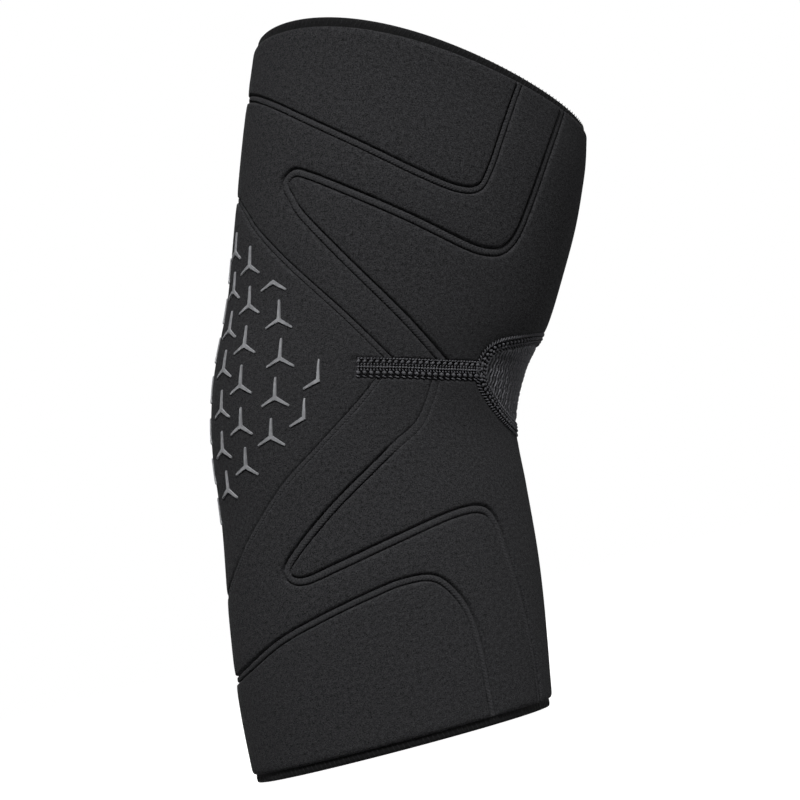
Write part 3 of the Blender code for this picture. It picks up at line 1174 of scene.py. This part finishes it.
    def build(self) -> None:
        """Makes the seven pads."""
        self.lay_relief()
        material = KnitFinish().build()
        for number, name in enumerate(self.pattern.names):
            if name not in PANELS:
                continue
            panel = PANELS[name]
            title = name.removesuffix("_pad") + "_pad"
            pad = self.closed(title, number, self.depth, self.underside, panel.side)
            self.bend.dress(pad, material, "cover_knit", name + "_foam", name + "_cover")
            LOG.info("%s: %d faces", pad.name, len(pad.data.polygons))


@dataclass
class StitchModel:
    """One stitch, modelled once: a bent bar of thread along X, on the plane Z = 0."""

    length: float = 2.2
    width: float = 0.55
    height: float = 0.42
    segments: int = 8
    rings: int = 6

    def build(self) -> tuple[np.ndarray, list[tuple[int, ...]]]:
        """Returns the stitch's points in millimetres, and its faces."""
        deselect()
        bpy.ops.mesh.primitive_uv_sphere_add(
            segments=self.segments, ring_count=self.rings, radius=0.5,
            rotation=(0, math.radians(90), 0))
        stitch = bpy.context.object
        bpy.ops.object.transform_apply(rotation=True)
        bpy.ops.object.mode_set(mode="EDIT")
        bpy.ops.mesh.select_all(action="SELECT")
        bpy.ops.transform.resize(value=(self.length, self.width, self.height))
        bpy.ops.object.mode_set(mode="OBJECT")
        points, faces = read_mesh(stitch)
        points[:, 2] -= 0.35 * self.height * (2 * points[:, 0] / self.length) ** 2
        bpy.data.objects.remove(stitch)
        return points, faces


@dataclass
class StitchRow:
    """Copies of one stitch, laid along a line on the sleeve, as one piece of thread work."""

    points: list = field(default_factory=list)
    faces: list = field(default_factory=list)
    count: int = 0

    def lay(
        self,
        model: tuple[np.ndarray, list[tuple[int, ...]]],
        centre: np.ndarray,
        ahead: np.ndarray,
        out: np.ndarray,
        turn: float = 0.0,
    ) -> None:
        """Adds a copy of the stitch, and its mirror image on the right side.

        Args:
            model: The stitch's points and faces.
            centre: Where its middle goes.
            ahead: The way along the line.
            out: The way out of the surface.
            turn: How far it is turned in the surface, in degrees.
        """
        left = np.cross(out, ahead)
        c, s = math.cos(math.radians(turn)), math.sin(math.radians(turn))
        basis = np.stack([ahead * c + left * s, left * c - ahead * s, out])
        laid = model[0] @ basis + centre
        for mirrored in (False, True):
            placed = laid * (1, -1, 1) if mirrored else laid
            self.points.append(placed)
            for face in model[1]:
                shifted = tuple(k + self.count for k in face)
                self.faces.append(shifted[::-1] if mirrored else shifted)
            self.count += len(placed)

    def build(self, name: str) -> bpy.types.Object:
        """Writes the row as one piece."""
        obj = mesh_object(name, np.vstack(self.points), self.faces)
        shade(obj, 60)
        return obj


@dataclass
class SideSeams:
    """The flatlock seam on each side: a flat band with two rows of chain stitches."""

    form: SleeveForm
    pattern: HalfPattern
    bend: ElbowBend
    half_height: float = 3.3
    pitch: float = 2.07
    rails: int = 15
    depth: float = 0.95
    edge_drop: float = 0.25
    underside: float = 1.6
    stitch_depth: float = 0.75
    # Each row: its offset from the middle, its stitch's length, width and height, how many
    # stitches share one pitch, and how far they are turned.
    rows: tuple[tuple[float, ...], ...] = (
        (1.5, 1.55, 1.2, 1.0, 1, 38), (-0.3, 1.1, 0.75, 0.9, 2, -28),
        (-2.05, 1.5, 1.0, 0.9, 1, -38), (2.75, 1.5, 0.5, 0.6, 1, 20),
        (-2.95, 0.9, 0.5, 0.6, 2, -20), (0.6, 0.85, 0.5, 0.6, 2, 62),
        (-1.15, 0.8, 0.5, 0.6, 2, 118),
    )

    def build(self) -> None:
        """Makes both bands and their stitches."""
        line = self.pattern.lines["seam"].even(0.7)
        thread, ground = THREAD.build(), SHADED_SEAM_GROUND.build()
        across = np.linspace(-1, 1, self.rails)
        profile = self.depth + self.edge_drop * np.abs(across) ** 6
        rails = [line.offset(t * self.half_height) for t in across]
        top = np.stack([self.form.at(r.share, r.angle, d) for r, d in zip(rails, profile)], 1)
        low = np.stack([self.form.at(r.share, r.angle, self.underside) for r in rails], 1)
        count, wide = top.shape[:2]
        for side, flip in (("left", 1.0), ("right", -1.0)):
            points = np.vstack([top.reshape(-1, 3), low.reshape(-1, 3)]) * (1, flip, 1)
            base, faces = count * wide, []
            for i in range(count - 1):
                for j in range(wide - 1):
                    a = i * wide + j
                    quad = (a, a + wide, a + wide + 1, a + 1)
                    faces.append(quad)
                    faces.append(tuple(k + base for k in quad[::-1]))
            rim = [i * wide for i in range(count)]
            rim += [(count - 1) * wide + j for j in range(1, wide)]
            rim += [i * wide + wide - 1 for i in range(count - 2, -1, -1)]
            rim += [j for j in range(wide - 2, 0, -1)]
            for a, b in zip(rim, rim[1:] + rim[:1]):
                faces.append((b, a, a + base, b + base))
            if flip < 0:
                faces = [face[::-1] for face in faces]
            band = mesh_object(f"side_seam_band_{side}", points, faces)
            turn_outwards(band)
            shade(band)
            self.bend.dress(band, ground, "seam_thread", f"side_seam_{side}")
        self.stitch(line, thread)

    def stitch(self, line: SurfaceLine, thread: bpy.types.Material) -> None:
        """Lays the chain stitches of both seams."""
        row = StitchRow()
        for offset, length, width, height, share, turn in self.rows:
            model = StitchModel(length, width, height).build()
            rail = line.offset(offset).even(self.pitch / share)
            ahead, _, out = rail.directions()
            for i, place in enumerate(self.form.at(rail.share, rail.angle, self.stitch_depth)):
                row.lay(model, place, ahead[i], out[i], turn)
        self.bend.dress(row.build("side_seam_stitches"), thread, "seam_thread")


@dataclass
class CrookInsert:
    """The ribbed mesh in the crook and the flatlock border that holds it."""

    form: SleeveForm
    pattern: HalfPattern
    pads: CoverPads
    bend: ElbowBend
    mesh_depth: float = 1.15
    rib_height: float = 0.45
    mesh_thickness: float = 1.3
    edge_depth: float = 1.25
    sway: float = 0.22
    sway_length: float = 5.2
    dash_length: float = 3.1
    border_depth: float = 0.95
    border_drop: float = 0.45
    stitch_depth: float = 0.7
    # Each row of the border: its offset inwards, its stitch's length, width and height, its
    # pitch, and how far its stitches are turned.
    rows: tuple[tuple[float, ...], ...] = (
        (-0.35, 1.9, 0.45, 0.6, 1.15, -48), (-1.8, 1.4, 0.95, 0.95, 1.75, 35),
        (-2.9, 1.15, 0.75, 0.8, 1.3, -30), (-3.8, 1.3, 0.45, 0.55, 1.3, 52),
    )

    def build(self) -> None:
        """Makes the mesh, its border and the border's stitches."""
        net, pads = self.pattern, self.pads
        mesh_material, thread = SHADED_MESH_KNIT.build(), THREAD.build()
        up = net.share * self.form.tube_length
        # The ribs sway as they run up the arm, and are broken up along their length.
        sway = self.sway * np.sin(math.tau * up / self.sway_length)
        turn = net.angle * self.form.girth_scale + sway
        ribs = self.rib_height * np.cos(math.tau * turn / net.rib)
        dash = np.sin(math.tau * (up / self.dash_length + np.round(turn / net.rib) * 0.5))
        ribs *= 0.75 + 0.25 * dash
        # Painted shade and light for the mesh knit: low in a rib's groove, high on its crest.
        pads.ribs = 0.3 - 0.55 * ribs / self.rib_height
        near_edge = smoothstep((net.near["crook"].distance(net.points) - net.border) / 2)
        depth = self.mesh_depth * near_edge + self.edge_depth * (1 - near_edge) + ribs * near_edge
        number = net.names.index("crook_mesh")
        insert = pads.closed(
            "crook_mesh_knit", number, depth, self.mesh_depth + self.mesh_thickness, Side.CROOK)
        self.bend.dress(insert, mesh_material, "mesh_knit", "crook_mesh")
        inwards = net.near["crook"].distance(net.points)
        t = np.clip(np.abs(inwards - net.border / 2) / (net.border / 2), 0, 1)
        depth = self.border_depth + self.border_drop * t**4
        number = net.names.index("crook_border")
        border = pads.closed(
            "crook_border_band", number, depth, pads.underside, Side.CROOK)
        self.bend.dress(border, SHADED_SEAM_GROUND.build(), "seam_thread", "crook_border_seam")
        self.stitch(thread)

    def stitch(self, thread: bpy.types.Material) -> None:
        """Lays the border's rows of stitches."""
        row = StitchRow()
        line = self.pattern.lines["crook"]
        for offset, length, width, height, pitch, turn in self.rows:
            model = StitchModel(length, width, height).build()
            rail = line.offset(offset)
            true = self.pattern.near["crook"].distance(rail.points)
            kept = (rail.angle >= 0) & (true > abs(offset) - 0.1)
            rail = SurfaceLine(self.form, rail.share[kept], rail.angle[kept]).even(pitch)
            ahead, _, out = rail.directions()
            for i, place in enumerate(self.form.at(rail.share, rail.angle, self.stitch_depth)):
                row.lay(model, place, ahead[i], out[i], turn)
        self.bend.dress(row.build("crook_border_stitches"), thread, "seam_thread")


@dataclass
class Band:
    """A closed band round the sleeve, lofted from a ring through a profile."""

    name: str
    profile: Points
    around: int = 128

    def build(self, form: SleeveForm) -> bpy.types.Object:
        """Makes the band from a torus whose rings are moved to the sleeve's ovals.

        Args:
            form: The sleeve.

        Returns:
            The band.
        """
        deselect()
        bpy.ops.mesh.primitive_torus_add(
            major_segments=self.around, minor_segments=len(self.profile))
        band = bpy.context.object
        band.name = band.data.name = self.name
        share, depth = np.array(self.profile).T
        turn = np.repeat(np.arange(self.around) * math.tau / self.around, len(share))
        points = form.at(np.tile(share, self.around), turn, np.tile(depth, self.around))
        band.data.vertices.foreach_set("co", (points * MM).ravel())
        band.data.update()
        for layer in list(band.data.uv_layers):
            band.data.uv_layers.remove(layer)
        turn_outwards(band)
        shade(band, 50)
        return band


@dataclass
class Hems:
    """The thin overlocked lips, and the elastic tapes and grip strip inside them."""

    form: SleeveForm
    bend: ElbowBend
    lip: float = 0.0134
    pitch: float = 1.7
    # The overlock stitch's length, width and height, where it lies, and its slant in degrees.
    stitch: tuple[float, float, float] = (2.8, 0.42, 0.36)
    stitch_inset: float = 0.0065
    stitch_depth: float = 1.95
    slant: float = 72.0
    # Spans are shares of the sleeve's length: the tapes' from each hem, the grip strip's in all.
    tape_span: tuple[float, float] = (0.02, 0.09)
    tape_depths: tuple[float, float] = (4.9, 5.7)
    grip_span: tuple[float, float] = (0.94, 0.96)
    grip_depths: tuple[float, float] = (6.0, 6.6)

    def build(self) -> None:
        """Makes both lips, their overlock stitches, the tapes and the grip strip."""
        knit, thread, elastic = SHADED_HEM_KNIT.build(), HEM_THREAD.build(), ELASTIC.build()
        silicone = SILICONE.build()
        for arm, edge, way in (("forearm", 0.0, 1.0), ("upper", 1.0, -1.0)):
            profile = tuple(
                (edge + way * s, d)
                for s, d in ((self.lip, 2.0), (0.006, 1.9), (0.0025, 1.95), (0.0006, 2.3),
                             (0.0, 3.1), (0.0006, 4.0), (0.0025, 4.45), (self.lip, 4.5))
            )
            lip = Band(f"{arm}_hem_lip", profile).build(self.form)
            self.bend.dress(lip, knit, "hem_knit", f"{arm}_hem_edge")
            self.bend.dress(self.overlock(arm, edge, way), thread, "seam_thread")
            near, far = (edge + way * inset for inset in self.tape_span)
            tape = self.strip(f"{arm}_elastic_tape", near, far, 9, self.tape_depths)
            self.bend.dress(tape, elastic, "hem_elastic", f"{arm}_hem_elastic")
        grip = self.strip("upper_grip_band", *self.grip_span, 5, self.grip_depths)
        self.bend.dress(grip, silicone, "grip_silicone", "upper_grip_strip")

    def strip(
        self, name: str, near: float, far: float, rings: int, depths: tuple[float, float]
    ) -> bpy.types.Object:
        """A flat band round the inside of the sleeve.

        Args:
            name: The piece's name.
            near: Where it starts, as a share of the sleeve's length.
            far: Where it ends.
            rings: How many rings its outside and its inside have.
            depths: The depths of its outside and its inside.

        Returns:
            The band.
        """
        steps = np.linspace(near, far, rings)
        profile = [(s, depths[0]) for s in steps] + [(s, depths[1]) for s in steps[::-1]]
        return Band(name, tuple(profile)).build(self.form)

    def overlock(self, arm: str, edge: float, way: float) -> bpy.types.Object:
        """Lays the overlock stitches of one hem, slanting over its lip."""
        row = StitchRow()
        model = StitchModel(*self.stitch).build()
        turn = np.linspace(0, math.pi, 400)
        line = SurfaceLine(self.form, np.full_like(turn, edge + way * self.stitch_inset), turn)
        line = line.even(self.pitch)
        ahead, _, out = line.directions()
        for i, place in enumerate(self.form.at(line.share, line.angle, self.stitch_depth)):
            row.lay(model, place, ahead[i], out[i], self.slant * way)
        return row.build(f"{arm}_overlock_stitches")


@dataclass
class Lining:
    """The base knit against the skin: two cuffs and the elbow stretch between them."""

    form: SleeveForm
    bend: ElbowBend
    outer: float = 3.6
    inner: float = 4.5
    # Flat, the knit is this share of its girth on the arm.
    stretch: float = 0.9
    # The sleeve's length along its middle, in metres.
    tube: float = 0.235

    def build(self) -> None:
        """Makes the three sections: each its ends, its rings and its girth in metres."""
        material = LINING.build()
        spans = (("forearm", 0.013, 0.19, 12, 0.268), ("elbow", 0.19, 0.83, 56, 0.26),
                 ("upper", 0.83, 0.987, 12, 0.294))
        for name, low, high, steps, girth in spans:
            shares = np.linspace(low, high, steps)
            profile = [(s, self.outer) for s in shares] + [(s, self.inner) for s in shares[::-1]]
            part = Band(f"{name}_lining", tuple(profile)).build(self.form)
            self.bend.dress(part, material, "base_knit", f"{name}_base_knit")


@dataclass
class GripMarks:
    """Three-armed marks of printed silicone on the elbow pad, in staggered columns."""

    form: SleeveForm
    swell: PadSwell
    pads: CoverPads
    bend: ElbowBend
    up_arm: float = 6.3
    side_arm: float = 5.6
    spread: float = 118.0
    half_width: float = 0.62
    tip_width: float = 0.3
    height: float = 0.45
    upright: tuple[float, float, float] = (0.254, 0.0, 0.967)
    # Each column: its first, middle and last place as (share, degrees from the back), and how
    # many marks it has.
    columns: tuple = (
        (((0.705, 0), (0.53, 0), (0.3471, 0)), 7),
        (((0.7336, 15.1), (0.5635, 22.8), (0.3771, 24.5)), 7),
        (((0.7079, 30.3), (0.5947, 35.9), (0.4034, 39.8)), 6),
        (((0.6804, 45.3), (0.5666, 55.9), (0.4403, 54.2)), 5),
        (((0.5285, 72.6), (0.497, 70.5), (0.4653, 68.3)), 2),
    )

    def arms(self, column: int, number: int) -> tuple[float, ...]:
        """The angles of a mark's arms, in degrees from the way up the arm."""
        if (column, number) == (3, 0):
            return (-self.spread, self.spread)
        if column == 4:
            return (0.0, -self.spread)
        return (0.0, self.spread, -self.spread)

    def outline(self, turns: tuple[float, ...]) -> np.ndarray:
        """A mark's outline on the flat, as (across, up), going round once."""
        line = []
        order = sorted(t % 360 for t in turns)
        for k, turn in enumerate(order):
            reach = self.up_arm if turn == 0 else self.side_arm
            way = np.array((-math.sin(math.radians(turn)), math.cos(math.radians(turn))))
            side = np.array((way[1], -way[0]))
            line.append(way * reach + side * self.tip_width)
            line.append(way * (reach + 0.12))
            line.append(way * reach - side * self.tip_width)
            gap = (order[(k + 1) % len(order)] - turn) % 360 or 360
            middle = math.radians(turn + gap / 2)
            notch = self.half_width / max(math.sin(math.radians(min(gap, 359) / 2)), 0.4)
            line.append(np.array((-math.sin(middle), math.cos(middle))) * notch)
        return np.array(line)

    def build(self) -> None:
        """Makes every mark as one piece."""
        points, faces, count = [], [], 0
        for column, (places, number) in enumerate(self.columns):
            share, degrees = smooth_line(places, 40).T
            line = SurfaceLine(self.form, share, math.pi - np.radians(degrees))
            run = line.lengths()
            at = np.linspace(0, run[-1], number)
            shares = np.interp(at, run, line.share)
            angles = np.interp(at, run, line.angle)
            for n, (s, a) in enumerate(zip(shares, angles)):
                for mirrored in (False, True) if column else (False,):
                    made = self.mark(s, a, self.arms(column, n), mirrored)
                    points.append(made[0])
                    faces += [tuple(k + count for k in face) for face in made[1]]
                    count += len(made[0])
        marks = mesh_object("grip_marks", np.vstack(points), faces)
        turn_outwards(marks)
        shade(marks, 35)
        self.bend.dress(marks, SILICONE.build(), "grip_silicone")
        LOG.info("grip marks: %d faces", len(faces))

    def mark(
        self, share: float, angle: float, turns: tuple[float, ...], mirrored: bool
    ) -> tuple[np.ndarray, list[tuple[int, ...]]]:
        """One mark, laid on the pad.

        Args:
            share: The mark's place along the sleeve.
            angle: Its place round it, on the left side.
            turns: The angles of its arms.
            mirrored: Whether it is moved to the right side.

        Returns:
            Its points and faces.
        """
        ring = self.outline(turns)
        fine = []
        for a, b in zip(ring, np.roll(ring, -1, axis=0)):
            steps = max(1, round(float(np.linalg.norm(b - a)) / 1.3))
            fine += [a + (b - a) * k / steps for k in range(steps)]
        ring = np.array(fine)
        rings = [(ring, -0.25), (ring, 0.7 * self.height), (ring * 0.93, self.height)]
        laid = []
        here_s, here_a = np.full(len(ring) + 1, share), np.full(len(ring) + 1, angle)
        out = self.form.normal(here_s[:1], here_a[:1])[0]
        up = np.array(self.upright)
        up = unit(up - (up @ out) * out)
        # Across is to the back of the arm. Mirrored marks are flipped afterwards.
        across = np.cross(up, out)
        for flat, rise in rings:
            way = flat[:, :1] * across + flat[:, 1:] * up
            size = np.linalg.norm(way, axis=1)
            s, a = self.form.moved(
                here_s[: len(flat)], here_a[: len(flat)], unit(way), size)
            crown = self.pads.crown * (1 - self.swell.at(s, np.clip(a, 0, math.pi)))
            laid.append(self.form.at(s, a, crown - rise))
        count = len(ring)
        points = np.vstack(laid)
        faces = []
        for level in range(2):
            for k in range(count):
                n = (k + 1) % count
                faces.append((level * count + k, level * count + n,
                              (level + 1) * count + n, (level + 1) * count + k))
        faces.append(tuple(range(2 * count, 3 * count)))
        faces.append(tuple(reversed(range(count))))
        if mirrored:
            points = points * (1, -1, 1)
            faces = [face[::-1] for face in faces]
        return points, faces


# ---------------------------------------------------------------- the studio


@dataclass(frozen=True)
class SoftBox:
    """A square soft box, in metres, watts and degrees."""

    name: str
    place: tuple[float, float, float]
    size: float
    power: float
    spread: float = 180.0
    # How far under the sleeve's middle it is aimed.
    lower: float = 0.0


SOFT_BOXES = (
    SoftBox("key_box", (-0.02, -0.9, 1.2), 0.3, 0.56, 26, 0.06),
    SoftBox("back_rim", (-1.1, 0.45, 0.3), 0.4, 0.9),
    SoftBox("crook_rim", (1.1, -0.1, 0.35), 0.4, 2.6),
    SoftBox("far_box", (0.1, 1.1, 0.8), 0.6, 9),
)


@dataclass
class Studio:
    """A white floor and backdrop, soft light from above, and the camera."""

    target: tuple[float, float, float] = (-2.2, 0.0, 109.2)
    distance: float = 920.0
    lean: float = 14.7
    drop: float = 4.0
    lens: float = 125.84

    def build(self) -> None:
        """Sets up the floor, the lights, the world and the camera."""
        self.place_camera()
        self.lay_floor()
        self.light()

    def place_camera(self) -> None:
        """The camera looks at the sleeve's right side, leaning with the arm."""
        lean, drop = math.radians(self.lean), math.radians(self.drop)
        up = Vector((math.sin(lean), 0, math.cos(lean)))
        target = Vector(self.target)
        back = -math.cos(drop) * Vector((0, 1, 0)) - math.sin(drop) * up
        place = target + self.distance * back
        right = Vector((math.cos(lean), 0, -math.sin(lean)))
        top = (-back).cross(right)
        top = top if top.dot(up) > 0 else -top
        data = bpy.data.cameras.new("camera")
        data.lens, data.sensor_width = self.lens, 36.0
        data.clip_start, data.clip_end = 0.01, 20.0
        camera = bpy.data.objects.new("camera", data)
        bpy.context.scene.collection.objects.link(camera)
        turned = Matrix((right, top, back)).transposed().to_4x4()
        turned.translation = place * MM
        camera.matrix_world = turned
        bpy.context.scene.camera = camera

    def lay_floor(self) -> None:
        """A wide white floor under the forearm hem."""
        deselect()
        bpy.ops.mesh.primitive_circle_add(
            vertices=96, radius=6.0, fill_type="NGON", location=(0, 0, -0.0005))
        floor = bpy.context.object
        floor.name = "studio_floor"
        material, tree, shader = new_material("white_floor")
        grain = add_node(tree, "ShaderNodeTexNoise", {"Scale": 3.0}).outputs[0]
        tone = add_node(
            tree, "ShaderNodeMapRange", {"Value": grain, "To Min": 0.28, "To Max": 0.3},
        ).outputs[0]
        tree.links.new(tone, shader.inputs["Base Color"])
        shader.inputs["Roughness"].default_value = 0.9
        shader.inputs["Emission Color"].default_value = (1, 1, 1, 1)
        seen = add_node(tree, "ShaderNodeLightPath").outputs["Is Camera Ray"]
        tree.links.new(seen, shader.inputs["Emission Strength"])
        floor.data.materials.append(material)

    def add_box(self, box: SoftBox) -> None:
        """Hangs a soft box and aims it at the sleeve."""
        data = bpy.data.lights.new(box.name, "AREA")
        data.size, data.energy, data.spread = box.size, box.power, math.radians(box.spread)
        lamp = bpy.data.objects.new(box.name, data)
        bpy.context.scene.collection.objects.link(lamp)
        lamp.location = box.place
        aim = Vector(self.target) * MM - Vector((0, 0, box.lower)) - Vector(box.place)
        lamp.rotation_euler = aim.to_track_quat("-Z", "Y").to_euler()

    def light(self) -> None:
        """Soft boxes above and in front, and a white surround."""
        for box in SOFT_BOXES:
            self.add_box(box)
        scene = bpy.context.scene
        scene.view_settings.view_transform = "Standard"
        world = bpy.data.worlds.new("white_surround")
        scene.world = world
        world.use_nodes = True
        tree = world.node_tree
        seen = add_node(tree, "ShaderNodeLightPath").outputs["Is Camera Ray"]
        strength = add_node(
            tree, "ShaderNodeMapRange", {"Value": seen, "To Min": 0.05, "To Max": 1.0},
        ).outputs[0]
        background = tree.nodes["Background"]
        background.inputs["Color"].default_value = (1, 1, 1, 1)
        tree.links.new(strength, background.inputs["Strength"])


def main() -> None:
    """Builds every sub-assembly in order."""
    logging.basicConfig(level=logging.INFO, format="%(name)s: %(message)s")
    form, bend = SleeveForm(), ElbowBend()
    Studio().build()
    pattern = HalfPattern(form)
    pattern.lay_lines()
    pattern.scatter()
    pattern.triangulate()
    LOG.info("the pattern has %d triangles a side", len(pattern.triangles))
    swell = PadSwell(form, pattern)
    swell.run()
    pads = CoverPads(form, pattern, swell, bend)
    pads.build()
    SideSeams(form, pattern, bend).build()
    CrookInsert(form, pattern, pads, bend).build()
    Lining(form, bend).build()
    Hems(form, bend).build()
    GripMarks(form, swell, pads, bend).build()


if __name__ == "__main__":
    main()
